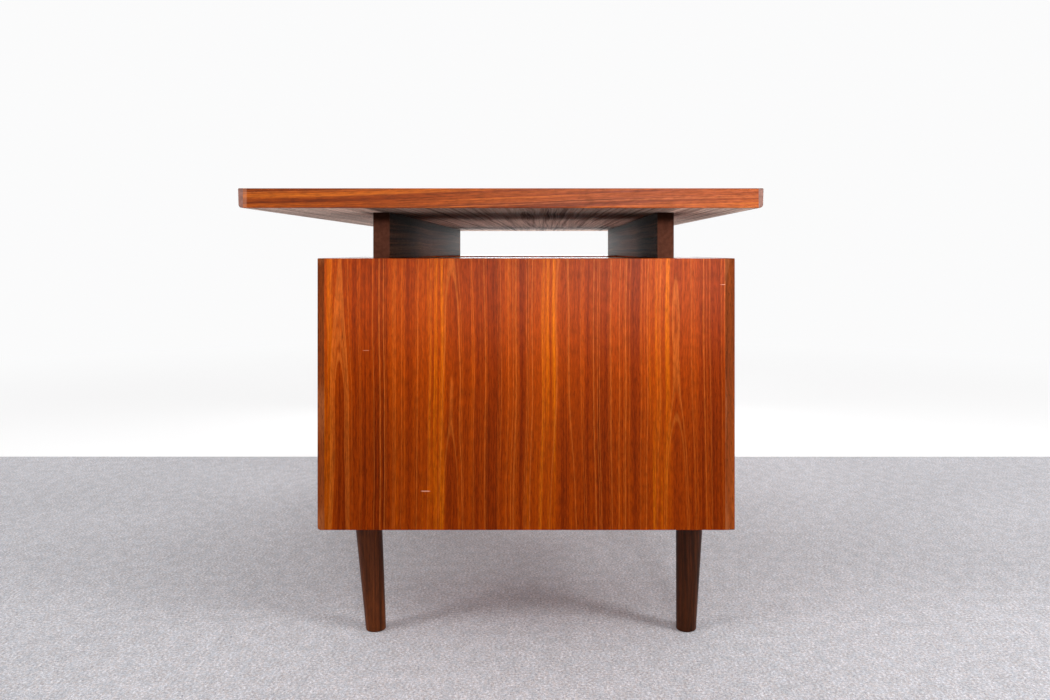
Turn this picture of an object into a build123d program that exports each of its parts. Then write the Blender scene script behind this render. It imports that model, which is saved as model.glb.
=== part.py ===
from build123d import *
from math import radians, tan
import os

# Writing desk: a top raised on two long rails over two drawer pedestals on four turned legs.
#
# Millimetres, +Z up. The origin is on the floor under the middle of the top. The user sits at -Y, so the
# drawers open towards -Y and the open book bays face +Y. The left pedestal is at -X and the right one at +X.

# ---- Desk top: a core board with two veneers and four solid edges ----
TOP_LENGTH = 1500.0
TOP_DEPTH = 750.0
TOP_THICK = 28.0
DESK_HEIGHT = 720.0
VENEER = 0.7
LONG_LIPPING = 7.0
LONG_LIPPING_UNDERCUT = 0.8
END_LIPPING = 9.0
UPPER_ROUND = 1.5
LOWER_ROUND = 5.0
END_ROUND = 1.0

# ---- Rails that raise the top above the pedestals ----
RAIL_HEIGHT = 73.0
RAIL_THICK = 26.0
RAIL_LENGTH = 1194.0
RAIL_ROUND = 1.0
RAIL_MIDDLES_Y = {"front": -255.0, "back": 198.0}
DOWEL_RADIUS = 5.0
DOWEL_LENGTH = 36.0
DOWEL_REACH_X = 505.0
DOWELS_PER_RAIL = 4

# ---- Pedestal cases: mitred boards with solid front and back edges ----
CASE_END_INSET = 125.0
CASE_WIDTH = 360.0
CASE_HEIGHT = 425.0
CASE_FRONT = -360.0
CASE_BACK = 293.0
BOARD = 18.0
FRONT_LIPPING = 15.5
FRONT_BEVEL = 2.0
BACK_LIPPING = 11.0
BACK_LOWER_ROUND = 5.0
CASE_ROUND = 1.0
PARTITION = 12.0
BOOK_BAY_DEPTH = 215.0

# ---- Book shelves on pins ----
SHELF_THICK = 14.0
SHELF_HEIGHT = 188.0  # case floor to the shelf's underside
SHELF_SETBACK = 14.0
SHELF_GAP = 0.5
SHELF_ROUND = 2.0
PIN_RADIUS = 2.5
PIN_LENGTH = 18.0
PIN_IN_BOARD = 9.0
PIN_FROM_SHELF_END = 30.0

# ---- Drawers: dovetailed boxes on side runners ----
FRONT_RECESS = 14.0
FRONT_THICK = 18.0
FRONT_ROUND = 0.8
FRONT_GAP = 3.0
SIDE_CLEARANCE = 1.5
DRAWER_LENGTH = 390.0
DRAWER_SIDE = 12.0
DRAWER_BACK = 11.0
SIDE_BELOW_TOP = 14.0
SIDE_ABOVE_BOTTOM = 4.0
DRAWER_BOTTOM = 4.0
BOTTOM_RAISE = 8.0
BOTTOM_INLET = 5.0
TAIL_LENGTH = 12.0
TAIL_HEIGHT = 20.0
TAIL_PITCH = 34.0
TAIL_SHARE = 0.6  # most of a pitch that a tail's root may take
TAIL_SLOPE = 9.0  # degrees

# ---- Runners on the case walls, and the grooves that slide on them ----
GROOVE_DEPTH = 7.0
GROOVE_HEIGHT = 16.5
GROOVE_STOP = 14.0  # behind the drawer front
RUNNER_HEIGHT = 15.5
RUNNER_REACH = 7.5
RUNNER_START_GAP = 1.0

# ---- Lip pull along the top of each drawer front ----
LIP_HEIGHT = 26.0
LIP_REACH = 12.0
LIP_NOSE = 7.0
LIP_NOSE_ROUND = 3.0
LIP_NOSE_FLAT = 3.5
LIP_HOLLOW = 4.0

# ---- Turned legs, each on a stud that screws into a sleeve in the case bottom ----
LEG_X = 527.0
LEG_TOPS_Y = {"front": -304.0, "back": 233.0}
LEG_FEET_Y = {"front": -298.0, "back": 219.4}
LEG_TOP_RADIUS = 22.7
LEG_FOOT_RADIUS = 16.5
FOOT_ROUND = 2.5
STUD_RADIUS = 5.0
STUD_IN_LEG = 35.0
STUD_IN_CASE = 12.0
SLEEVE_RADIUS = 8.0
SLEEVE_HEIGHT = 14.0

# ---- Screws that rise through the case tops into the rails ----
SCREW_RADIUS = 2.5
SCREW_HEAD_RADIUS = 5.0
SCREW_HEAD = 3.0
SCREW_BITE = 40.0
SCREW_OFFSET_X = 126.0

# ---- Levels and places that follow ----
TOP_UNDER = DESK_HEIGHT - TOP_THICK
CASE_TOP = TOP_UNDER - RAIL_HEIGHT
CASE_BOTTOM = CASE_TOP - CASE_HEIGHT
CASE_OUTER = TOP_LENGTH / 2 - CASE_END_INSET
CASE_INNER = CASE_OUTER - CASE_WIDTH
CASE_MIDDLE = (CASE_OUTER + CASE_INNER) / 2
BAY_WIDTH = CASE_WIDTH - 2 * BOARD
BAY_BOTTOM = CASE_BOTTOM + BOARD
BAY_TOP = CASE_TOP - BOARD
PARTITION_BACK = CASE_BACK - BOOK_BAY_DEPTH
PARTITION_FRONT = PARTITION_BACK - PARTITION
FRONT_FACE = CASE_FRONT + FRONT_RECESS
FRONT_REAR = FRONT_FACE + FRONT_THICK
DRAWER_REAR = FRONT_FACE + DRAWER_LENGTH
DRAWER_BACK_FACE = DRAWER_REAR - DRAWER_BACK
DRAWER_WIDTH = BAY_WIDTH - 2 * SIDE_CLEARANCE
SMALL_FRONT = (BAY_TOP - BAY_BOTTOM - 4 * FRONT_GAP) / 3
DEEP_FRONT = 2 * SMALL_FRONT + FRONT_GAP
SIDES = {"left": -1, "right": 1}
DRAWER_FRONTS = {"left": [SMALL_FRONT] * 3, "right": [SMALL_FRONT, DEEP_FRONT]}


# ---- Shared shapes ----
def block(x, y, z):
    """A box between two coordinates on each axis."""
    spans = [sorted(span) for span in (x, y, z)]
    middle = [(low + high) / 2 for low, high in spans]
    return Pos(*middle) * Box(*[high - low for low, high in spans])


def rod(x, y, z, radius, length):
    """An upright cylinder that stands on (x, y, z)."""
    return Pos(x, y, z + length / 2) * Cylinder(radius, length)


def prism_x(points, x_low, x_high):
    """A prism along X with an outline of (y, z) points."""
    outline = make_face(Polyline(*[(x_low, y, z) for y, z in points], close=True))
    return extrude(outline, amount=x_high - x_low, dir=(1, 0, 0))


def prism_y(points, y_low, y_high):
    """A prism along Y with an outline of (x, z) points."""
    outline = make_face(Polyline(*[(x, y_low, z) for x, z in points], close=True))
    return extrude(outline, amount=y_high - y_low, dir=(0, 1, 0))


def prism_z(points, z_low, z_high):
    """A prism along Z with an outline of (x, y) points."""
    outline = make_face(Polyline(*[(x, y, z_low) for x, y in points], close=True))
    return extrude(outline, amount=z_high - z_low, dir=(0, 0, 1))


def grouped(pieces):
    """Separate solids that share one node."""
    return Compound(children=[solid for piece in pieces for solid in piece.solids()])


def spread(count, low, high):
    """Evenly spaced places from low to high."""
    return [low + (high - low) * i / (count - 1) for i in range(count)]


def edges_at(shape, along, **place):
    """The straight edges along one axis whose middles lie at the given X, Y or Z."""
    edges = shape.edges().filter_by(along)
    return [e for e in edges if all(abs(getattr(e.center(), axis) - at) < 0.01 for axis, at in place.items())]


# ---- Desk top ----
def dowels():
    """Dowels that hold the rails to the top, half in each."""
    xs = spread(DOWELS_PER_RAIL, -DOWEL_REACH_X, DOWEL_REACH_X)
    low = TOP_UNDER - DOWEL_LENGTH / 2
    return [rod(x, y, low, DOWEL_RADIUS, DOWEL_LENGTH) for x in xs for y in RAIL_MIDDLES_Y.values()]


def long_lipping(side):
    """The solid edge along the front (-1) or the back (+1), which leans in a little towards its underside."""
    outer = side * TOP_DEPTH / 2
    inner = side * (TOP_DEPTH / 2 - LONG_LIPPING)
    foot = outer - side * LONG_LIPPING_UNDERCUT
    outline = [(inner, TOP_UNDER), (foot, TOP_UNDER), (outer, DESK_HEIGHT), (inner, DESK_HEIGHT)]
    strip = prism_x(outline, -TOP_LENGTH / 2, TOP_LENGTH / 2)
    strip = fillet(edges_at(strip, Axis.X, Y=outer, Z=DESK_HEIGHT), UPPER_ROUND)
    return fillet(edges_at(strip, Axis.X, Y=foot, Z=TOP_UNDER), LOWER_ROUND)


def end_lipping(side):
    """The solid edge at the left (-1) or right (+1) end, between the long ones."""
    outer = side * TOP_LENGTH / 2
    reach = TOP_DEPTH / 2 - LONG_LIPPING
    strip = block((outer, outer - side * END_LIPPING), (-reach, reach), (TOP_UNDER, DESK_HEIGHT))
    return fillet(edges_at(strip, Axis.Y, X=outer), END_ROUND)


def desk_top():
    """The core, its veneers, its edges and the dowels in it."""
    x = (-TOP_LENGTH / 2 + END_LIPPING, TOP_LENGTH / 2 - END_LIPPING)
    y = (-TOP_DEPTH / 2 + LONG_LIPPING, TOP_DEPTH / 2 - LONG_LIPPING)
    return {
        "top_core": block(x, y, (TOP_UNDER + VENEER, DESK_HEIGHT - VENEER)) - dowels(),
        "top_veneer": block(x, y, (DESK_HEIGHT - VENEER, DESK_HEIGHT)),
        "top_underside_veneer": block(x, y, (TOP_UNDER, TOP_UNDER + VENEER)) - dowels(),
        "top_lipping_front": long_lipping(-1),
        "top_lipping_back": long_lipping(1),
        "top_lipping_left": end_lipping(-1),
        "top_lipping_right": end_lipping(1),
        "top_dowels": grouped(dowels()),
    }


# ---- Rails ----
def rail_screws():
    """Screws with their heads inside the pedestals and their threads in the rails."""
    screws = []
    for side in SIDES.values():
        for offset in (-SCREW_OFFSET_X, SCREW_OFFSET_X):
            for y in RAIL_MIDDLES_Y.values():
                x = side * CASE_MIDDLE + offset
                head = rod(x, y, BAY_TOP - SCREW_HEAD, SCREW_HEAD_RADIUS, SCREW_HEAD)
                screws.append(head + rod(x, y, BAY_TOP, SCREW_RADIUS, BOARD + SCREW_BITE))
    return screws


def rails():
    """The two rails and the screws below them."""
    made = {"rail_screws": grouped(rail_screws())}
    x = (-RAIL_LENGTH / 2, RAIL_LENGTH / 2)
    for end, y in RAIL_MIDDLES_Y.items():
        bar = block(x, (y - RAIL_THICK / 2, y + RAIL_THICK / 2), (CASE_TOP, TOP_UNDER))
        rail = fillet(edges_at(bar, Axis.X), RAIL_ROUND)
        made[f"rail_{end}"] = rail - dowels() - rail_screws()
    return made


# ---- Pedestal cases ----
def board_outlines(side):
    """The (x, z) outline of each of a case's four mitred boards."""
    outer, inner = side * CASE_OUTER, side * CASE_INNER
    in_outer, in_inner = outer - side * BOARD, inner + side * BOARD
    low, high = CASE_BOTTOM, CASE_TOP
    return {
        "outer_side": [(outer, low), (outer, high), (in_outer, BAY_TOP), (in_outer, BAY_BOTTOM)],
        "inner_side": [(inner, low), (inner, high), (in_inner, BAY_TOP), (in_inner, BAY_BOTTOM)],
        "top": [(outer, high), (inner, high), (in_inner, BAY_TOP), (in_outer, BAY_TOP)],
        "bottom": [(outer, low), (inner, low), (in_inner, BAY_BOTTOM), (in_outer, BAY_BOTTOM)],
    }


def case_bar(side, front, back):
    """The outer shape of a stretch of a case, with its four long edges eased."""
    bar = block((side * CASE_OUTER, side * CASE_INNER), (front, back), (CASE_BOTTOM, CASE_TOP))
    return fillet(edges_at(bar, Axis.Y), CASE_ROUND)


def front_lippings(side):
    """The front edges of the four boards. The sides' outward faces turn in a little towards the user."""
    outer, inner = side * CASE_OUTER, side * CASE_INNER
    bevel = side * FRONT_BEVEL
    rear = CASE_FRONT + FRONT_LIPPING
    plan = [(outer, rear), (outer - bevel, CASE_FRONT), (inner + bevel, CASE_FRONT), (inner, rear)]
    bevelled = prism_z(plan, CASE_BOTTOM, CASE_TOP)
    eased = fillet([e for e in bevelled.edges() if abs(e.center().Y - rear) > 0.01], CASE_ROUND)
    return [prism_y(outline, CASE_FRONT, rear) & eased for outline in board_outlines(side).values()]


def back_lippings(side):
    """The back edges of the four boards, rounded along the lower corner."""
    front = CASE_BACK - BACK_LIPPING
    bar = block((side * CASE_OUTER, side * CASE_INNER), (front, CASE_BACK), (CASE_BOTTOM, CASE_TOP))
    rounded = fillet(edges_at(bar, Axis.X, Y=CASE_BACK, Z=CASE_BOTTOM), BACK_LOWER_ROUND)
    outer = [e for e in rounded.edges() if e.center().Y > front + 0.01]
    ends = [e for e in outer if e.bounding_box().size.X < 0.01]
    eased = fillet(ends + edges_at(rounded, Axis.X, Y=CASE_BACK, Z=CASE_TOP), CASE_ROUND)
    return [prism_y(outline, front, CASE_BACK) & eased for outline in board_outlines(side).values()]


def bay_walls(side):
    """The inner faces of a pedestal's two sides, lower X first."""
    return sorted((side * (CASE_OUTER - BOARD), side * (CASE_INNER + BOARD)))


def shelf_pins(side):
    """Four pins, half in the pedestal's sides, that carry its book shelf."""
    z = BAY_BOTTOM + SHELF_HEIGHT - PIN_RADIUS
    ys = (PARTITION_BACK + PIN_FROM_SHELF_END, CASE_BACK - SHELF_SETBACK - PIN_FROM_SHELF_END)
    out_of_board = PIN_LENGTH / 2 - PIN_IN_BOARD
    low, high = bay_walls(side)
    xs = (low + out_of_board, high - out_of_board)
    return [Pos(x, y, z) * Rot(0, 90, 0) * Cylinder(PIN_RADIUS, PIN_LENGTH) for x in xs for y in ys]


def book_shelf(side):
    """The shelf in a pedestal's book bay, with a rounded outer edge."""
    low, high = bay_walls(side)
    x = (low + SHELF_GAP, high - SHELF_GAP)
    y = (PARTITION_BACK + SHELF_GAP, CASE_BACK - SHELF_SETBACK)
    z = (BAY_BOTTOM + SHELF_HEIGHT, BAY_BOTTOM + SHELF_HEIGHT + SHELF_THICK)
    shelf = block(x, y, z)
    return fillet(edges_at(shelf, Axis.X, Y=y[1]), SHELF_ROUND)


def case(name, side):
    """One pedestal's boards, edges, partition and book shelf."""
    cuts = {
        "outer_side": shelf_pins(side),
        "inner_side": shelf_pins(side),
        "top": rail_screws(),
        "bottom": leg_sleeves(side),
    }
    made = {
        f"{name}_case_front_lipping": grouped(front_lippings(side)),
        f"{name}_case_back_lipping": grouped(back_lippings(side)),
        f"{name}_partition": block(bay_walls(side), (PARTITION_FRONT, PARTITION_BACK), (BAY_BOTTOM, BAY_TOP)),
        f"{name}_book_shelf": book_shelf(side),
    }
    span = (CASE_FRONT + FRONT_LIPPING, CASE_BACK - BACK_LIPPING)
    for board, outline in board_outlines(side).items():
        made[f"{name}_case_{board}"] = (prism_y(outline, *span) & case_bar(side, *span)) - cuts[board]
    return made


# ---- Drawers ----
def drawer_levels(name):
    """(number, bottom, top) of each drawer front in a pedestal, from the top one down."""
    levels = []
    top = BAY_TOP - FRONT_GAP
    for number, height in enumerate(DRAWER_FRONTS[name], start=1):
        levels.append((number, top - height, top))
        top -= height + FRONT_GAP
    return levels


def centred(middle, height):
    """The lowest and highest place of something centred on a height."""
    return (middle - height / 2, middle + height / 2)


def groove_middle(bottom, top):
    """The height of a drawer's side grooves, midway up its sides."""
    return (bottom + SIDE_ABOVE_BOTTOM + top - SIDE_BELOW_TOP) / 2


def tails(low, high, root, tip):
    """Outlines of the dovetails between two levels, as (y, z) points from root to tip."""
    count = max(2, round((high - low) / TAIL_PITCH))
    pitch = (high - low) / count
    flare = abs(tip - root) * tan(radians(TAIL_SLOPE))
    half = min(TAIL_HEIGHT, pitch * TAIL_SHARE) / 2
    middles = [low + pitch * (i + 0.5) for i in range(count)]
    wide = half + flare
    return [[(root, z - half), (tip, z - wide), (tip, z + wide), (root, z + half)] for z in middles]


def drawer_side(x_low, x_high, low, high):
    """One side, with half-blind tails at the front and through tails at the back."""
    under_back = low + BOTTOM_RAISE + DRAWER_BOTTOM
    side = block((x_low, x_high), (FRONT_REAR, DRAWER_BACK_FACE), (low, high))
    side += block((x_low, x_high), (DRAWER_BACK_FACE, DRAWER_REAR), (low, under_back))
    outlines = tails(low, high, FRONT_REAR, FRONT_REAR - TAIL_LENGTH)
    outlines += tails(under_back, high, DRAWER_BACK_FACE, DRAWER_REAR)
    return side + [prism_x(outline, x_low, x_high) for outline in outlines]


def drawer_lip(x, top):
    """The solid pull along the top of a drawer front, hollowed below for the fingertips."""
    nose, low = FRONT_FACE - LIP_REACH, top - LIP_HEIGHT
    corners = [(FRONT_FACE, low), (FRONT_REAR, low), (FRONT_REAR, top), (nose, top), (nose, top - LIP_NOSE)]
    corners.append((nose + LIP_NOSE_FLAT, top - LIP_NOSE))
    points = [(x[0], y, z) for y, z in corners]
    deepest = (x[0], FRONT_FACE + LIP_HOLLOW, top - LIP_HEIGHT / 2)
    outline = Polyline(*points) + ThreePointArc(points[-1], deepest, points[0])
    lip = extrude(make_face(outline), amount=x[1] - x[0], dir=(1, 0, 0))
    return fillet(edges_at(lip, Axis.X, Y=nose), LIP_NOSE_ROUND)


def drawer(key, x_middle, bottom, top):
    """All the pieces of one drawer."""
    x = (x_middle - DRAWER_WIDTH / 2, x_middle + DRAWER_WIDTH / 2)
    low, high = bottom + SIDE_ABOVE_BOTTOM, top - SIDE_BELOW_TOP
    panel_z = (low + BOTTOM_RAISE, low + BOTTOM_RAISE + DRAWER_BOTTOM)
    panel_inset = DRAWER_SIDE - BOTTOM_INLET
    panel = block((x[0] + panel_inset, x[1] - panel_inset), (FRONT_REAR - BOTTOM_INLET, DRAWER_REAR), panel_z)
    groove_y = (FRONT_REAR + GROOVE_STOP, DRAWER_REAR)
    groove_z = centred(groove_middle(bottom, top), GROOVE_HEIGHT)
    groove_spans = [(x[0], x[0] + GROOVE_DEPTH), (x[1] - GROOVE_DEPTH, x[1])]
    grooves = [block(span, groove_y, groove_z) for span in groove_spans]
    side_spans = [(x[0], x[0] + DRAWER_SIDE), (x[1] - DRAWER_SIDE, x[1])]
    sides = [drawer_side(*span, low, high) for span in side_spans]
    back = block(x, (DRAWER_BACK_FACE, DRAWER_REAR), (panel_z[1], high))
    front = block(x, (FRONT_FACE, FRONT_REAR), (bottom, top - LIP_HEIGHT))
    outer_edges = edges_at(front, Axis.X, Y=FRONT_FACE, Z=bottom) + edges_at(front, Axis.Z, Y=FRONT_FACE)
    front = fillet(outer_edges, FRONT_ROUND)
    return {
        f"{key}_front": front - sides - panel,
        f"{key}_lip": drawer_lip(x, top) - sides,
        f"{key}_sides": grouped([side - grooves - panel for side in sides]),
        f"{key}_back": back - sides - grooves,
        f"{key}_bottom": panel,
    }


def runners(name, side):
    """A pair of hardwood runners on the case walls for each drawer."""
    y = (FRONT_REAR + GROOVE_STOP + RUNNER_START_GAP, PARTITION_FRONT)
    low, high = bay_walls(side)
    made = []
    for _, bottom, top in drawer_levels(name):
        z = centred(groove_middle(bottom, top), RUNNER_HEIGHT)
        made += [block((low, low + RUNNER_REACH), y, z), block((high - RUNNER_REACH, high), y, z)]
    return made


# ---- Legs ----
def leg_sleeves(side):
    """The outer shapes of the threaded sleeves let into a case bottom from below."""
    return [rod(side * LEG_X, y, CASE_BOTTOM, SLEEVE_RADIUS, SLEEVE_HEIGHT) for y in LEG_TOPS_Y.values()]


def leg_studs(side):
    """The steel studs that join a pedestal's legs to its sleeves."""
    length = STUD_IN_LEG + STUD_IN_CASE
    return [rod(side * LEG_X, y, CASE_BOTTOM - STUD_IN_LEG, STUD_RADIUS, length) for y in LEG_TOPS_Y.values()]


def leg(x, y_top, y_foot):
    """A turned leg that tapers and leans to a foot with a rounded edge."""
    foot = Pos(x, y_foot, 0) * Circle(LEG_FOOT_RADIUS)
    head = Pos(x, y_top, CASE_BOTTOM) * Circle(LEG_TOP_RADIUS)
    shaft = loft([foot, head])
    foot_edge = min(shaft.edges(), key=lambda edge: edge.bounding_box().max.Z)
    return fillet(foot_edge, FOOT_ROUND)


def legs():
    """Four legs with their studs and sleeves."""
    made, studs, sleeves = {}, [], []
    for name, side in SIDES.items():
        own_studs = leg_studs(side)
        for end, y_top in LEG_TOPS_Y.items():
            made[f"leg_{end}_{name}"] = leg(side * LEG_X, y_top, LEG_FEET_Y[end]) - own_studs
        studs += own_studs
        sleeves += [sleeve - own_studs for sleeve in leg_sleeves(side)]
    return made | {"leg_studs": grouped(studs), "leg_sleeves": grouped(sleeves)}


def desk():
    """Every node of the desk."""
    nodes = desk_top() | rails() | legs()
    pins, bearers = [], []
    for name, side in SIDES.items():
        nodes |= case(name, side)
        pins += shelf_pins(side)
        bearers += runners(name, side)
        for number, bottom, top in drawer_levels(name):
            nodes |= drawer(f"{name}_drawer_{number}", side * CASE_MIDDLE, bottom, top)
    return nodes | {"shelf_pins": grouped(pins), "drawer_runners": grouped(bearers)}


os.makedirs("parts", exist_ok=True)
for node, shape in desk().items():
    export_step(shape, f"parts/{node}.step")
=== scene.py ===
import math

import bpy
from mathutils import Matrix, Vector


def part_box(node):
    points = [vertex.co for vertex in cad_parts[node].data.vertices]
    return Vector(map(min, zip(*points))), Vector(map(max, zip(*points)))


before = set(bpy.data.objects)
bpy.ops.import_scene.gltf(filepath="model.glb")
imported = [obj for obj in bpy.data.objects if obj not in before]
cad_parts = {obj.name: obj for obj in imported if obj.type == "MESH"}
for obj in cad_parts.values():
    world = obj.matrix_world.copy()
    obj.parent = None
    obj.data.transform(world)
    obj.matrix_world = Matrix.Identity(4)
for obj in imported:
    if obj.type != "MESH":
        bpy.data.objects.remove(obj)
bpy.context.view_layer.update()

# The looks of the writing desk: wood for every piece, a carpet floor, soft light and the camera.
#
# Metres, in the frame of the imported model: +Z up, the user at -Y. The camera looks along +X at the left end.
# A span is (low, high, at low, at high): a value from low to high is moved to the range of the last two.

# ---- Places from the model ----
# The edge strips at a case's back are as wide and as high as the case.
CASE_LOW, CASE_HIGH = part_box("right_case_back_lipping")
CASE_BOTTOM, CASE_TOP = CASE_LOW[2], CASE_HIGH[2]
FRONT_RAIL_LOW, FRONT_RAIL_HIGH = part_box("rail_front")
BACK_RAIL_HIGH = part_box("rail_back")[1]
RAIL_BOTTOM, RAIL_TOP = FRONT_RAIL_LOW[2], FRONT_RAIL_HIGH[2]
TOP_END_LOW, TOP_END_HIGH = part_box("top_lipping_left")


def srgb(red, green, blue):
    """A linear colour from 0 to 255 display values."""
    shares = [value / 255 for value in (red, green, blue)]
    linear = [share / 12.92 if share <= 0.04045 else ((share + 0.055) / 1.055) ** 2.4 for share in shares]
    return (*linear, 1.0)


# ---- Node building ----
# The colour sockets of the Mix node.
MIX_A, MIX_B, MIX_RESULT = 6, 7, 2


class Tree:
    """The node tree of a material or the world, with one short call for each kind of node."""

    def __init__(self, owner, shader):
        owner.use_nodes = True
        self.owner = owner
        self.nodes = owner.node_tree.nodes
        self.links = owner.node_tree.links
        self.shader = self.nodes[shader]
        self.place = self.nodes.new("ShaderNodeTexCoord")

    def put(self, socket, value):
        """Sets a socket from a number, a colour or another socket."""
        if isinstance(value, bpy.types.NodeSocket):
            self.links.new(value, socket)
        else:
            socket.default_value = value

    def set(self, name, value):
        """Sets one of the shader's own sockets."""
        self.put(self.shader.inputs[name], value)

    def math(self, operation, a, b=0.0, clamp=False):
        node = self.nodes.new("ShaderNodeMath")
        node.operation = operation
        node.use_clamp = clamp
        self.put(node.inputs[0], a)
        self.put(node.inputs[1], b)
        return node.outputs[0]

    def plus(self, a, b):
        return self.math("ADD", a, b)

    def minus(self, a, b):
        return self.math("SUBTRACT", a, b)

    def times(self, a, b):
        return self.math("MULTIPLY", a, b)

    def distance(self, a, b):
        """How far apart two numbers are."""
        return self.math("ABSOLUTE", self.minus(a, b))

    def total(self, values):
        """The sum of two or more values."""
        result, *others = values
        for value in others:
            result = self.plus(result, value)
        return result

    def swing(self, value, weight):
        """A noise value's distance from its middle, times a weight."""
        return self.times(self.minus(value, 0.5), weight)

    def choose(self, mask, inside, outside):
        """One number where the mask is 1 and another where it is 0."""
        return self.plus(outside, self.times(mask, self.minus(inside, outside)))

    def split(self, vector):
        node = self.nodes.new("ShaderNodeSeparateXYZ")
        self.put(node.inputs[0], vector)
        return node.outputs

    def join(self, x, y, z):
        node = self.nodes.new("ShaderNodeCombineXYZ")
        for socket, value in zip(node.inputs, (x, y, z)):
            self.put(socket, value)
        return node.outputs[0]

    def length(self, vector):
        node = self.nodes.new("ShaderNodeVectorMath")
        node.operation = "LENGTH"
        self.put(node.inputs[0], vector)
        return node.outputs["Value"]

    def noise(self, vector, scale=1.0, detail=2.0, roughness=0.5):
        node = self.nodes.new("ShaderNodeTexNoise")
        self.put(node.inputs["Vector"], vector)
        self.put(node.inputs["Scale"], scale)
        self.put(node.inputs["Detail"], detail)
        self.put(node.inputs["Roughness"], roughness)
        return node.outputs[0]

    def span(self, value, low, high, at_low=0.0, at_high=1.0, smooth=True):
        """The value's range from low to high, moved to another range and held at its ends."""
        node = self.nodes.new("ShaderNodeMapRange")
        node.interpolation_type = "SMOOTHSTEP" if smooth else "LINEAR"
        for socket, number in zip(node.inputs, (value, low, high, at_low, at_high)):
            self.put(socket, number)
        return node.outputs[0]

    def ramp(self, factor, stops):
        """A colour ramp through (place, colour) stops."""
        node = self.nodes.new("ShaderNodeValToRGB")
        elements = node.color_ramp.elements
        while len(elements) < len(stops):
            elements.new(0.5)
        for element, (place, colour) in zip(elements, stops):
            element.position = place
            element.color = colour
        self.put(node.inputs[0], factor)
        return node.outputs[0]

    def mix(self, factor, a, b):
        """Colour a, moved towards colour b by a factor."""
        node = self.nodes.new("ShaderNodeMix")
        node.data_type = "RGBA"
        self.put(node.inputs[0], factor)
        self.put(node.inputs[MIX_A], a)
        self.put(node.inputs[MIX_B], b)
        return node.outputs[MIX_RESULT]

    def scaled(self, colour, factor):
        """A colour made lighter or darker by a factor."""
        node = self.nodes.new("ShaderNodeVectorMath")
        node.operation = "SCALE"
        self.put(node.inputs[0], colour)
        self.put(node.inputs["Scale"], factor)
        return node.outputs[0]

    def bump(self, height, strength, distance):
        node = self.nodes.new("ShaderNodeBump")
        self.put(node.inputs["Height"], height)
        self.put(node.inputs["Strength"], strength)
        self.put(node.inputs["Distance"], distance)
        return node.outputs[0]

    def show(self, output, factor, a, b):
        """Ends the tree in shader a, moved towards shader b by a factor."""
        blend = self.nodes.new("ShaderNodeMixShader")
        for socket, value in zip(blend.inputs, (factor, a, b)):
            self.put(socket, value)
        self.put(self.nodes[output].inputs["Surface"], blend.outputs[0])


def material_tree(name):
    """The tree of a new material."""
    return Tree(bpy.data.materials.new(name), "Principled BSDF")


# ---- Grain ----
AXES = {"x": 0, "y": 1, "z": 2}

# A slow sway of the grain: its noise's scales across, along and into the wood, and its width.
SWAY_SCALES = (5.0, 3.2, 5.0)
SWAY = 0.010

# How far the noise moves on from one veneer leaf to the next, and its scale into a leaf.
LEAF_STEP = 0.17
LEAF_DEPTH_SCALE = 4.0

# Layers of the grain: scales across, along and into solid wood, offset, detail, roughness, and whether the
# layer is laid out again in every leaf.
LAYERS = {
    "bands": (38.0, 0.9, 40.0, 3.1, 2.0, 0.50, True),
    "streaks": (150.0, 1.5, 150.0, 7.7, 2.0, 0.60, True),
    "lines": (430.0, 2.6, 420.0, 5.2, 2.0, 0.60, False),
    "fibres": (560.0, 60.0, 800.0, 1.3, 2.0, 0.65, False),
    "pores": (2300.0, 120.0, 800.0, 4.9, 1.0, 0.50, False),
}

# Growth rings: the heart's share of a leaf, the place of the arches along the grain, how fast they open, how
# much they wander, and the rings' scale.
HEART_SHARE = 0.56
ARCH_PLACE = 0.16
ARCH_SLOPE = 0.030
ARCH_WANDER = 0.022
WANDER_SCALE, WANDER_OFFSET = 2.2, 9.0
RING_SCALE = 150.0

# How much each layer moves the tone, and where the dark, deep, middle and bright colours are on its scale.
TONE_WEIGHTS = {"bands": 0.50, "streaks": 0.60, "lines": 0.60, "rings": 0.40, "profile": 0.52}
TONE_STOPS = (0.02, 0.30, 0.58, 0.95)

# The pale line along a ring: the ring noise in its middle, and how far from that it starts and ends to fade.
RING_LINE = 0.56
RING_LINE_EDGE = (0.006, 0.030)

# Spans to brightness: from the fibres' and pores' noise, and in end grain from the streaks' noise.
FIBRE_SHADES = (0.25, 0.75, 0.72, 1.28)
PORE_SHADES = (0.60, 0.72, 1.0, 0.62)
END_GRAIN_SHADES = (0.3, 0.7, 0.80, 1.15)

# How far a face looks along the grain where end grain starts and is full, and its factor if it has no colour.
END_GRAIN_FACING = (0.80, 0.95)
END_GRAIN_DARKER = 0.55

# Surface: the range of fibre noise and how much it changes the roughness, the heights of fibres and pores,
# and the depth of the relief.
FIBRE_RANGE = (0.2, 0.8)
ROUGHNESS_SWING = 0.06
FIBRE_HEIGHT, PORE_HEIGHT = 0.4, 0.6
RELIEF_DEPTH = 0.0002

# Scratches: their colour, and the shares of their half length and half width that have it in full.
SCRATCH_COLOUR = srgb(225, 170, 140)
SCRATCH_FULL_LENGTH, SCRATCH_FULL_WIDTH = 0.5, 0.4

# The soft edge of a stretch of painted shade.
PAINTED_SHADE_EDGE = 0.012


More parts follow.
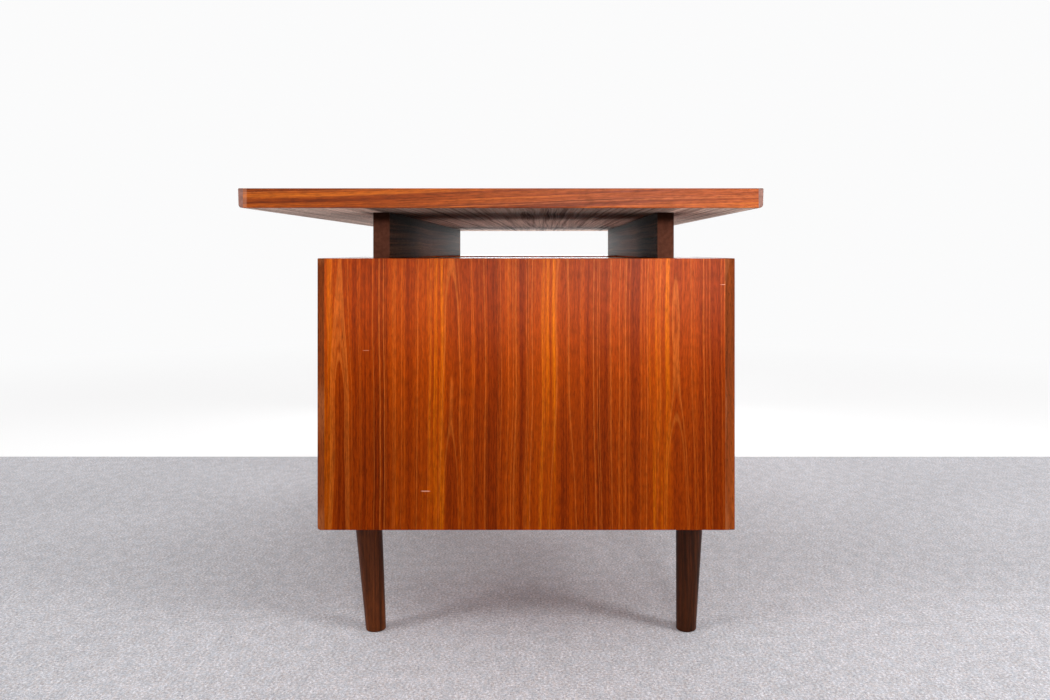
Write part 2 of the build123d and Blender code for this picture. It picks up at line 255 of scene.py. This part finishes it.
class Grain:
    """Places in a piece of wood: along its grain, across it, and into it."""

    def __init__(self, tree, along, across, seed, slant, mitred):
        place = tree.split(tree.place.outputs["Object"])
        normal = tree.split(tree.place.outputs["Normal"])
        third = next(axis for axis in AXES if axis not in (along, across))
        self.tree = tree
        self.seed = seed
        # Scratches and painted shade keep their places on the piece, without slant or sway.
        self.marks_across, self.scratch_and_shade_along = place[AXES[across]], place[AXES[along]]
        self.along, self.across = self.scratch_and_shade_along, self.marks_across
        self.into = place[AXES[third]]
        self.facing = tree.math("ABSOLUTE", normal[AXES[along]])
        if mitred:
            x, y, z = place
            level = self.lies_level(x, z)
            self.along = tree.choose(level, x, z)
            self.across = tree.choose(level, z, x)
            self.into = y
            self.facing = tree.math("ABSOLUTE", tree.choose(level, normal[AXES["x"]], normal[AXES["z"]]))
        if slant:
            self.across = tree.plus(self.across, tree.times(self.along, slant))
        sway = self.noise(*SWAY_SCALES, offset=0.0, detail=1.0)
        self.across = tree.plus(self.across, tree.swing(sway, SWAY))

    def lies_level(self, x, z):
        """1 in the top and bottom strips of a case's mitred frame, 0 in its upright strips."""
        tree = self.tree
        out = tree.math("ABSOLUTE", x)
        to_sides = tree.math("MINIMUM", tree.minus(out, CASE_LOW[0]), tree.minus(CASE_HIGH[0], out))
        to_ends = tree.math("MINIMUM", tree.minus(z, CASE_BOTTOM), tree.minus(CASE_TOP, z))
        return tree.math("LESS_THAN", to_ends, to_sides)

    def noise(self, across_scale, along_scale, into_scale, offset, detail=2.0, roughness=0.5, across=None):
        """Noise that is fine across the grain and long along it."""
        tree = self.tree
        vector = tree.join(
            tree.times(self.across if across is None else across, across_scale),
            tree.times(self.along, along_scale),
            tree.plus(tree.times(self.into, into_scale), tree.plus(self.seed, offset)),
        )
        return tree.noise(vector, detail=detail, roughness=roughness)

    def lay_leaves(self, width, seam):
        """Divides the wood into veneer leaves. Gives the share of a leaf's width at every place."""
        tree = self.tree
        steps = tree.math("DIVIDE", tree.minus(seam, self.across), width)
        number = tree.math("FLOOR", steps)
        self.seed = tree.plus(tree.times(number, LEAF_STEP), self.seed)
        return tree.minus(steps, number)

    def layers(self, local, in_leaves):
        """The noise of every layer, by name. local is the place across a leaf."""
        noises = {}
        for name, (across, along, into, offset, detail, roughness, in_each_leaf) in LAYERS.items():
            place = local if in_each_leaf else self.across
            depth = LEAF_DEPTH_SCALE if in_leaves else into
            noises[name] = self.noise(across, along, depth, offset, detail, roughness, place)
        return noises

    def rings(self, local, leaf):
        """Growth rings, cut so that they make arches in a leaf."""
        tree = self.tree
        heart = tree.minus(local, leaf * HEART_SHARE)
        wander = self.noise(0.0, WANDER_SCALE, 0.0, WANDER_OFFSET)
        cut = tree.plus(
            tree.times(tree.minus(self.along, ARCH_PLACE), ARCH_SLOPE), tree.times(wander, ARCH_WANDER))
        squares = tree.plus(tree.math("POWER", heart, 2.0), tree.math("POWER", cut, 2.0))
        radius = tree.math("SQRT", squares)
        return tree.noise(tree.join(tree.times(radius, RING_SCALE), self.seed, 0.0), detail=2.0)


def scratch(tree, grain, centre, half_length, half_width):
    """A mask of a short scratch across the grain."""
    over = tree.distance(grain.marks_across, centre[0])
    up = tree.distance(grain.scratch_and_shade_along, centre[1])
    inside_length = tree.span(over, half_length * SCRATCH_FULL_LENGTH, half_length, 1.0, 0.0)
    inside_width = tree.span(up, half_width * SCRATCH_FULL_WIDTH, half_width, 1.0, 0.0)
    return tree.times(inside_length, inside_width)


def painted_shade(tree, grain, reach, edges, factor):
    """How much of its brightness the wood keeps in and around a stretch of painted shade."""
    low, high = edges
    far_enough = tree.span(grain.scratch_and_shade_along, *reach, 1.0, 0.0)
    above = tree.span(grain.marks_across, low, low + PAINTED_SHADE_EDGE)
    below = tree.span(grain.marks_across, high - PAINTED_SHADE_EDGE, high, 1.0, 0.0)
    return tree.choose(tree.times(far_enough, tree.times(above, below)), factor, 1.0)


def grain_colour(tree, layers, tones, contrast, level, line_share):
    """The wood's colour from the layers of its grain."""
    *shades, pale = tones
    swings = [tree.swing(layers[name], weight) for name, weight in TONE_WEIGHTS.items() if name in layers]
    tone = tree.math("ADD", tree.times(tree.total(swings), contrast), level, clamp=True)
    colour = tree.ramp(tone, list(zip(TONE_STOPS, shades)))
    pale_line = tree.span(tree.distance(layers["rings"], RING_LINE), *RING_LINE_EDGE, line_share, 0.0)
    colour = tree.mix(pale_line, colour, pale)
    colour = tree.scaled(colour, tree.span(layers["fibres"], *FIBRE_SHADES))
    return tree.scaled(colour, tree.span(layers["pores"], *PORE_SHADES))


def end_grain(tree, grain, colour, streaks, end):
    """The colour, changed on the faces that cut through the grain."""
    facing = tree.span(grain.facing, *END_GRAIN_FACING)
    if end:
        return tree.mix(facing, colour, tree.scaled(end[:3], tree.span(streaks, *END_GRAIN_SHADES)))
    return tree.scaled(colour, tree.choose(facing, END_GRAIN_DARKER, 1.0))


def surface(tree, grain, layers, roughness, gloss, relief):
    """Roughness, gloss and the relief of fibres and pores."""
    rougher, smoother = roughness + ROUGHNESS_SWING, roughness - ROUGHNESS_SWING
    tree.set("Roughness", tree.span(layers["fibres"], *FIBRE_RANGE, rougher, smoother))
    varies = isinstance(gloss, tuple)
    tree.set("Specular IOR Level", tree.span(grain.along, *gloss) if varies else gloss)
    pore = tree.span(layers["pores"], *PORE_SHADES)
    height = tree.plus(tree.times(layers["fibres"], FIBRE_HEIGHT), tree.times(pore, PORE_HEIGHT))
    tree.set("Normal", tree.bump(height, relief, RELIEF_DEPTH))


def wood(name, along, across, tones, seed, leaf=0.0, seam=0.0, profile=None, slant=0.0, mitred=False,
         contrast=1.0, level=0.45, line_share=0.40, roughness=0.45, gloss=0.12, relief=0.35, end=None,
         fade=None, marks=(), painted_shades=()):
    """Wood with its grain along one axis: bands, streaks, growth rings, fibres and pores.

    tones are the dark, deep, middle, bright and pale colours. contrast and level say how far the tone swings
    and about what middle, and line_share is the strength of the pale lines. leaf is the width of matched
    veneer leaves, or 0 for a solid piece, and profile gives the brightness across a leaf. gloss is a number,
    or a span along the grain. end is the colour of the end grain, if it isn't just darker. fade is painted
    light or shade, a (low, high, factor) along the grain: the colour is changed by the factor at the low end.
    marks are pale scratches: (centre, half length, half width, strength). painted_shades are stretches of
    painted shade, ((start, end), (low, high), factor): the wood is darker up to the start, less so from there
    to the end along the grain, and only from low to high across it.
    """
    tree = material_tree(name)
    grain = Grain(tree, along, across, seed, slant, mitred)
    share = grain.lay_leaves(leaf, seam) if leaf else None
    local = tree.times(share, leaf) if leaf else grain.across
    layers = grain.layers(local, in_leaves=bool(leaf))
    layers["rings"] = grain.rings(local, leaf)
    if profile:
        layers["profile"] = tree.ramp(share, [(place, (v, v, v, 1.0)) for place, v in profile])

    colour = grain_colour(tree, layers, tones, contrast, level, line_share)
    # Painted light and shade: the colour made lighter or darker along the grain.
    if fade:
        low, high, factor = fade
        colour = tree.scaled(colour, tree.span(grain.along, low, high, factor, 1.0))
    for centre, half_length, half_width, strength in marks:
        mask = scratch(tree, grain, centre, half_length, half_width)
        colour = tree.mix(tree.times(mask, strength), colour, SCRATCH_COLOUR)
    colour = end_grain(tree, grain, colour, layers["streaks"], end)
    # Painted shade: darker stretches where less light reaches.
    for reach, edges, factor in painted_shades:
        colour = tree.scaled(colour, painted_shade(tree, grain, reach, edges, factor))
    tree.set("Base Color", colour)
    surface(tree, grain, layers, roughness, gloss, relief)
    return tree.owner


# ---- Metal: the polish marks' noise, its range, and what it does to brightness and roughness ----
POLISH_SCALE, POLISH_DETAIL = 900.0, 3.0
POLISH_RANGE = (0.2, 0.8)
POLISH_SHADES = (0.85, 1.08)
POLISH_SMOOTHER, POLISH_ROUGHER = 0.08, 0.1


def metal(name, tone, roughness):
    """Dull metal with fine uneven polish."""
    tree = material_tree(name)
    marks = tree.noise(tree.place.outputs["Object"], POLISH_SCALE, POLISH_DETAIL)
    tree.set("Base Color", tree.scaled(tone[:3], tree.span(marks, *POLISH_RANGE, *POLISH_SHADES)))
    tree.set("Metallic", 1.0)
    smoother, rougher = roughness - POLISH_SMOOTHER, roughness + POLISH_ROUGHER
    tree.set("Roughness", tree.span(marks, *POLISH_RANGE, smoother, rougher))
    return tree.owner


# ---- Tones: dark, deep, middle, bright, pale ----
TEAK = (srgb(92, 26, 0), srgb(133, 44, 0), srgb(163, 62, 0), srgb(220, 118, 0), srgb(194, 98, 30))
TEAK_EDGE = (srgb(60, 22, 4), srgb(94, 38, 8), srgb(122, 54, 14), srgb(156, 78, 24), srgb(146, 82, 44))
TEAK_END_LIPPING = (
    srgb(76, 26, 2), srgb(108, 42, 6), srgb(138, 62, 12), srgb(176, 92, 22), srgb(160, 88, 40))
DARK_RAIL = (
    srgb(32, 15, 6), srgb(62, 32, 17), srgb(96, 54, 32), srgb(132, 84, 54), srgb(112, 74, 52))
DARK_LEG = (
    srgb(26, 8, 0), srgb(48, 19, 3), srgb(70, 31, 8), srgb(104, 52, 16), srgb(84, 44, 20))
GREY_UNDERSIDE = (
    srgb(112, 88, 76), srgb(176, 148, 132), srgb(222, 194, 176), srgb(250, 226, 208), srgb(250, 228, 212))
OAK = (
    srgb(150, 112, 70), srgb(176, 138, 92), srgb(196, 160, 112), srgb(214, 180, 132), srgb(222, 194, 150))
PLY = (
    srgb(176, 140, 96), srgb(194, 160, 114), srgb(208, 174, 128), srgb(224, 196, 152), srgb(230, 206, 166))

# End grain of the top's long edges, and of the rails.
LIPPING_END = srgb(128, 92, 82)
RAIL_END = srgb(96, 57, 43)

# ---- Veneer leaves on the panels ----
LEAF_WIDTH = 0.1755
END_PANEL_SEAM_Y = 0.182

# Brightness across one leaf, from its seam nearer the back to its seam nearer the user.
LEAF_PROFILE = (
    (0.00, 0.58), (0.08, 0.54), (0.20, 0.44), (0.32, 0.50), (0.40, 0.72), (0.47, 0.84), (0.51, 0.62),
    (0.54, 0.30), (0.60, 0.42), (0.76, 0.42), (0.86, 0.34), (0.95, 0.20), (0.99, 0.24), (1.00, 0.58),
)

# ---- Uneven looks along the grain: gloss as a span, and painted light and shade as (low, high, factor at the low end) ----
END_PANEL_GLOSS = (0.42, 0.60, 0.03, 0.11)
# Painted shade: the end panels darker towards the bottom.
END_PANEL_PAINTED_SHADE = (CASE_BOTTOM + 0.10, CASE_TOP, 0.58)
# Painted light: the ends of the top lighter towards the user's side.
END_LIPPING_PAINTED_LIGHT = (-0.36, -0.05, 1.22)
RAIL_GLOSS = (-0.45, -0.05, 0.005, 0.03)
# Painted light: the legs lighter towards their feet.
BACK_LEG_PAINTED_LIGHT = (0.0, 0.11, 1.5)
FRONT_LEG_PAINTED_LIGHT = (0.0, 0.11, 1.25)

# Scratches on the left end panel: centre (y, z), half length, half width, strength.
END_PANEL_MARKS = (
    ((0.124, 0.255), 0.0085, 0.0012, 0.42),
    ((-0.347, 0.578), 0.0120, 0.0006, 0.60),
    ((0.217, 0.475), 0.0060, 0.0006, 0.35),
)

# A paler line down each end of the top, 2.5 mm from the joint with its back edge. Its centre is (z, y).
TOP_MIDDLE_Z = (TOP_END_LOW[2] + TOP_END_HIGH[2]) / 2
END_LIPPING_MARKS = (((TOP_MIDDLE_Z, TOP_END_HIGH[1] - 0.0025), 0.030, 0.0040, 0.16),)

# Painted shade, where the left case keeps the light from below away: the underside between the rails, from the
# left end into the kneehole, and the rails over the left case. Painted shadow of the top: the rails, all
# along, in their upper part. Only that part's lower edge is soft to the eye, as the other long edges lie over
# the rails or past them.
BETWEEN_RAILS = (FRONT_RAIL_LOW[1] + PAINTED_SHADE_EDGE / 2, BACK_RAIL_HIGH[1] - PAINTED_SHADE_EDGE / 2)
WHOLE_RAIL = (RAIL_BOTTOM - PAINTED_SHADE_EDGE, RAIL_TOP + PAINTED_SHADE_EDGE)
RAIL_UPPER_PART = (RAIL_TOP - 0.020, RAIL_TOP + PAINTED_SHADE_EDGE)
ALL_ALONG = (1.0, 1.1)
UNDERSIDE_PAINTED_SHADE = (((-0.45, -0.10), BETWEEN_RAILS, 0.42),)
RAIL_PAINTED_SHADE = (((-0.33, -0.22), WHOLE_RAIL, 0.70), (ALL_ALONG, RAIL_UPPER_PART, 0.22))


def make_materials():
    """Every material, by the words that pick it."""
    leaves = dict(leaf=LEAF_WIDTH, profile=LEAF_PROFILE)
    end_panel = dict(leaves, seam=END_PANEL_SEAM_Y, fade=END_PANEL_PAINTED_SHADE, gloss=END_PANEL_GLOSS, contrast=0.9,
                     line_share=0.55)
    polished = dict(leaves, roughness=0.2, gloss=0.5, relief=0.02)
    end_lipping = dict(slant=0.035, contrast=1.5, fade=END_LIPPING_PAINTED_LIGHT, marks=END_LIPPING_MARKS)
    underside = dict(leaf=0.25, seam=0.11, contrast=1.7, roughness=0.7, gloss=0.1, painted_shades=UNDERSIDE_PAINTED_SHADE)
    rail = dict(roughness=0.6, gloss=RAIL_GLOSS, contrast=1.3, end=RAIL_END, painted_shades=RAIL_PAINTED_SHADE)
    back_leg = dict(contrast=1.4, level=0.52, roughness=0.42, fade=BACK_LEG_PAINTED_LIGHT)
    front_leg = dict(contrast=1.4, level=0.28, roughness=0.42, fade=FRONT_LEG_PAINTED_LIGHT)
    return {
        "left_end_panel": wood(
            "teak_left_end_panel", "z", "y", TEAK, seed=0.0, marks=END_PANEL_MARKS, **end_panel),
        "right_end_panel": wood("teak_right_end_panel", "z", "y", TEAK, seed=3.0, **end_panel),
        "side_panel": wood("teak_side_panel", "z", "y", TEAK, seed=5.0, seam=0.05, **leaves),
        "flat_panel": wood("teak_flat_panel", "x", "y", TEAK, seed=9.0, seam=0.02, **leaves),
        "case_top": wood("teak_case_top", "x", "y", TEAK, seed=11.0, seam=0.02, **polished),
        "partition": wood("teak_partition", "z", "x", TEAK, seed=13.0, seam=0.03, **leaves),
        "drawer_front": wood("teak_drawer_front", "x", "z", TEAK, seed=17.0, contrast=1.2, level=0.38),
        "desktop": wood("teak_desktop", "x", "y", TEAK, seed=21.0, seam=0.04, **leaves),
        "solid_x": wood("teak_solid_along_x", "x", "y", TEAK_EDGE, seed=25.0, end=LIPPING_END),
        "frame": wood("teak_mitred_frame", "z", "x", TEAK_EDGE, seed=27.0, mitred=True, gloss=0.06),
        "end_lipping": wood("teak_end_lipping", "y", "z", TEAK_END_LIPPING, seed=29.0, **end_lipping),
        "underside": wood("grey_underside", "x", "y", GREY_UNDERSIDE, seed=31.0, **underside),
        "rail": wood("dark_rail", "x", "z", DARK_RAIL, seed=33.0, **rail),
        "back_leg": wood("dark_back_leg", "z", "y", DARK_LEG, seed=35.0, **back_leg),
        "front_leg": wood("dark_front_leg", "z", "y", DARK_LEG, seed=36.0, **front_leg),
        "drawer_side": wood("oak_along_y", "y", "z", OAK, seed=37.0, roughness=0.55),
        "drawer_back": wood("oak_along_x", "x", "z", OAK, seed=39.0, roughness=0.55),
        "drawer_bottom": wood("ply_bottom", "x", "y", PLY, seed=41.0, roughness=0.6),
        "steel": metal("zinc_steel", srgb(176, 178, 182), 0.38),
        "brass": metal("dull_brass", srgb(190, 150, 82), 0.36),
    }


# ---- Which material a node has, by its whole name or by how its name ends ----
BY_NAME = {
    "left_case_outer_side": "left_end_panel", "right_case_outer_side": "right_end_panel",
    "top_veneer": "desktop", "top_core": "drawer_back", "top_underside_veneer": "underside",
    "top_lipping_front": "solid_x", "top_lipping_back": "solid_x", "top_lipping_left": "end_lipping",
    "top_lipping_right": "end_lipping", "top_dowels": "drawer_back", "drawer_runners": "drawer_side",
    "rail_front": "rail", "rail_back": "rail", "rail_screws": "steel", "leg_studs": "steel",
    "leg_sleeves": "brass", "shelf_pins": "brass",
}
BY_ENDING = {
    "_case_inner_side": "side_panel", "_case_top": "case_top", "_case_bottom": "flat_panel",
    "_partition": "partition", "_book_shelf": "flat_panel", "_case_front_lipping": "frame",
    "_case_back_lipping": "frame", "_front": "drawer_front", "_lip": "solid_x", "_sides": "drawer_side",
    "_back": "drawer_back", "_bottom": "drawer_bottom",
}


def material_of(node):
    """The word that picks a node's material."""
    if node in BY_NAME:
        return BY_NAME[node]
    if node.startswith("leg_"):
        return "front_leg" if "front" in node else "back_leg"
    return next(word for ending, word in BY_ENDING.items() if node.endswith(ending))


def dress(materials):
    """Gives every CAD node its material."""
    for name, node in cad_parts.items():
        material = materials[material_of(name)]
        if not node.data.materials:
            node.data.materials.append(material)
        for number in range(len(node.material_slots)):
            node.material_slots[number].material = material


# ---- Floor ----
BACKDROP_WHITE = (0.965, 0.965, 0.968, 1.0)
FLOOR_HALF = 60.0
FLOOR_WHITE = (0.80, 0.80, 0.805, 1.0)
FLOOR_GLOW = 0.28
FADE_START, FADE_END = 1.9, 4.5
CARPET_END_X = 0.757
# Painted light: the carpet lighter towards its end past the desk.
CARPET_PAINTED_LIGHT = (-0.2, CARPET_END_X, 1.0, 1.13)
CARPET_BUMP, CARPET_DEPTH = 0.05, 0.001

# Two noises make up the speckle in equal parts: scale, detail and roughness. Then the greys by its value.
CARPET_SPECKLES = ((520.0, 2.0, 0.7), (230.0, 2.0, 0.6))
CARPET_GREYS = ((0.34, srgb(128, 129, 137)), (0.50, srgb(188, 188, 194)), (0.66, srgb(240, 239, 243)))

# Tints in the carpet: a noise's scale and detail, a span from it to the share of a colour, and the colour.
CARPET_TINTS = (
    (190.0, 1.0, (0.45, 0.62, 0.0, 0.35), srgb(190, 174, 166)),
    (60.0, 2.0, (0.45, 0.65, 0.0, 0.25), srgb(172, 182, 194)),
)

# Lighter and darker places in the carpet: a noise's scale and detail, and a span from it to brightness.
CARPET_SHADES = (
    (1.6, 2.0, (0.3, 0.7, 0.96, 1.05)),
    (36.0, 3.0, (0.35, 0.65, 0.94, 1.06)),
)


def floor_material():
    """Speckled grey carpet with painted light towards its end, plain white beyond it, and a fade to the
    backdrop's white far away.
    """
    tree = material_tree("carpet")
    place = tree.place.outputs["Object"]
    along = tree.split(place)[0]
    speckle = tree.total([tree.times(tree.noise(place, *noise), 0.5) for noise in CARPET_SPECKLES])
    grey = tree.ramp(speckle, CARPET_GREYS)
    for scale, detail, share, colour in CARPET_TINTS:
        grey = tree.mix(tree.span(tree.noise(place, scale, detail), *share), grey, colour)
    for scale, detail, brightness in CARPET_SHADES:
        grey = tree.scaled(grey, tree.span(tree.noise(place, scale, detail), *brightness))
    # Painted light: lighter towards the carpet's end past the desk.
    grey = tree.scaled(grey, tree.span(along, *CARPET_PAINTED_LIGHT))

    beyond = tree.math("GREATER_THAN", along, CARPET_END_X)
    tree.set("Base Color", tree.mix(beyond, grey, FLOOR_WHITE))
    tree.set("Roughness", 0.95)
    tree.set("Specular IOR Level", 0.05)
    tree.set("Emission Color", BACKDROP_WHITE)
    tree.set("Emission Strength", tree.times(beyond, FLOOR_GLOW))
    relief = tree.times(speckle, tree.minus(1.0, beyond))
    tree.set("Normal", tree.bump(relief, CARPET_BUMP, CARPET_DEPTH))

    glow = tree.nodes.new("ShaderNodeEmission")
    glow.inputs["Color"].default_value = BACKDROP_WHITE
    far = tree.span(tree.length(place), FADE_START, FADE_END)
    tree.show("Material Output", far, tree.shader.outputs[0], glow.outputs[0])
    return tree.owner


def make_floor():
    """A large flat floor."""
    mesh = bpy.data.meshes.new("floor")
    h = FLOOR_HALF
    mesh.from_pydata([(-h, -h, 0), (h, -h, 0), (h, h, 0), (-h, h, 0)], [], [(0, 1, 2, 3)])
    floor = bpy.data.objects.new("floor", mesh)
    bpy.context.scene.collection.objects.link(floor)
    mesh.materials.append(floor_material())


# ---- Lights: name, place, aim, size, watts and spread in degrees ----
# The wall bounce stands in for the light that comes back from a wall past the desk's far end.
DESK_END = (-0.3, 0.0, 0.3)
WIDE = 180.0
LIGHTS = (
    ("soft_box_left", (-1.9, 2.6, 1.6), DESK_END, 0.9, 40.5, WIDE),
    ("soft_box_right", (-1.9, -2.6, 1.6), DESK_END, 0.9, 61.0, WIDE),
    ("window", (-3.3, -0.5, 1.0), (-0.65, -0.20, 0.78), 0.5, 4.6, 50.0),
    ("wall_bounce", (1.7, 0.0, 0.55), (0.0, 0.0, 0.45), 0.9, 6.0, WIDE),
)


def make_light(name, at, aim, size, watts, spread):
    """A square soft box that points at a place. Its spread is in degrees."""
    data = bpy.data.lights.new(name, "AREA")
    data.shape = "SQUARE"
    data.size = size
    data.energy = watts
    data.spread = math.radians(spread)
    light = bpy.data.objects.new(name, data)
    light.location = at
    light.rotation_euler = (Vector(aim) - Vector(at)).to_track_quat("-Z", "Y").to_euler()
    light.visible_camera = False
    bpy.context.scene.collection.objects.link(light)


# ---- Light of the room: spans from a direction's X, or its Z, to a strength ----
# The wall's light is its strength along X times its strength along Z.
WALL_AHEAD = (0.55, 0.90, 0.0, 1.60)
WALL_LOW_DOWN = (0.40, 0.10, 0.0, 1.0)
OVERHEAD = (0.1, 0.9, 0.15, 0.95)
ROOM_WHITE = (1.0, 0.995, 0.99, 1.0)


def make_world():
    """A room bright above and behind the desk and dimmer in front, with a white backdrop to the camera."""
    world = bpy.data.worlds.new("surround")
    bpy.context.scene.world = world
    tree = Tree(world, "Background")
    x, _, z = tree.split(tree.place.outputs["Generated"])
    wall = tree.times(tree.span(x, *WALL_AHEAD, smooth=False), tree.span(z, *WALL_LOW_DOWN, smooth=False))
    tree.set("Color", ROOM_WHITE)
    tree.set("Strength", tree.plus(wall, tree.span(z, *OVERHEAD, smooth=False)))
    backdrop = tree.nodes.new("ShaderNodeBackground")
    backdrop.inputs["Color"].default_value = BACKDROP_WHITE
    seen = tree.nodes.new("ShaderNodeLightPath").outputs["Is Camera Ray"]
    tree.show("World Output", seen, tree.shader.outputs[0], backdrop.outputs[0])


# ---- Camera: level, square on to the left end. The shifts are shares of the sensor's width ----
CAMERA_AT = (-2.060, -0.066, 0.630)
SENSOR_WIDTH_MM = 36.0
LENS_MM = 31.47429
SHIFT_X = -0.021
SHIFT_Y = -0.094


def make_camera():
    """A level camera that looks along +X."""
    data = bpy.data.cameras.new("camera")
    data.sensor_width = SENSOR_WIDTH_MM
    data.lens = LENS_MM
    data.shift_x = SHIFT_X
    data.shift_y = SHIFT_Y
    camera = bpy.data.objects.new("camera", data)
    camera.location = CAMERA_AT
    camera.rotation_euler = (math.pi / 2, 0.0, -math.pi / 2)
    bpy.context.scene.collection.objects.link(camera)
    bpy.context.scene.camera = camera


make_camera()
make_world()
make_floor()
for light in LIGHTS:
    make_light(*light)
bpy.context.scene.view_settings.view_transform = "Standard"
dress(make_materials())
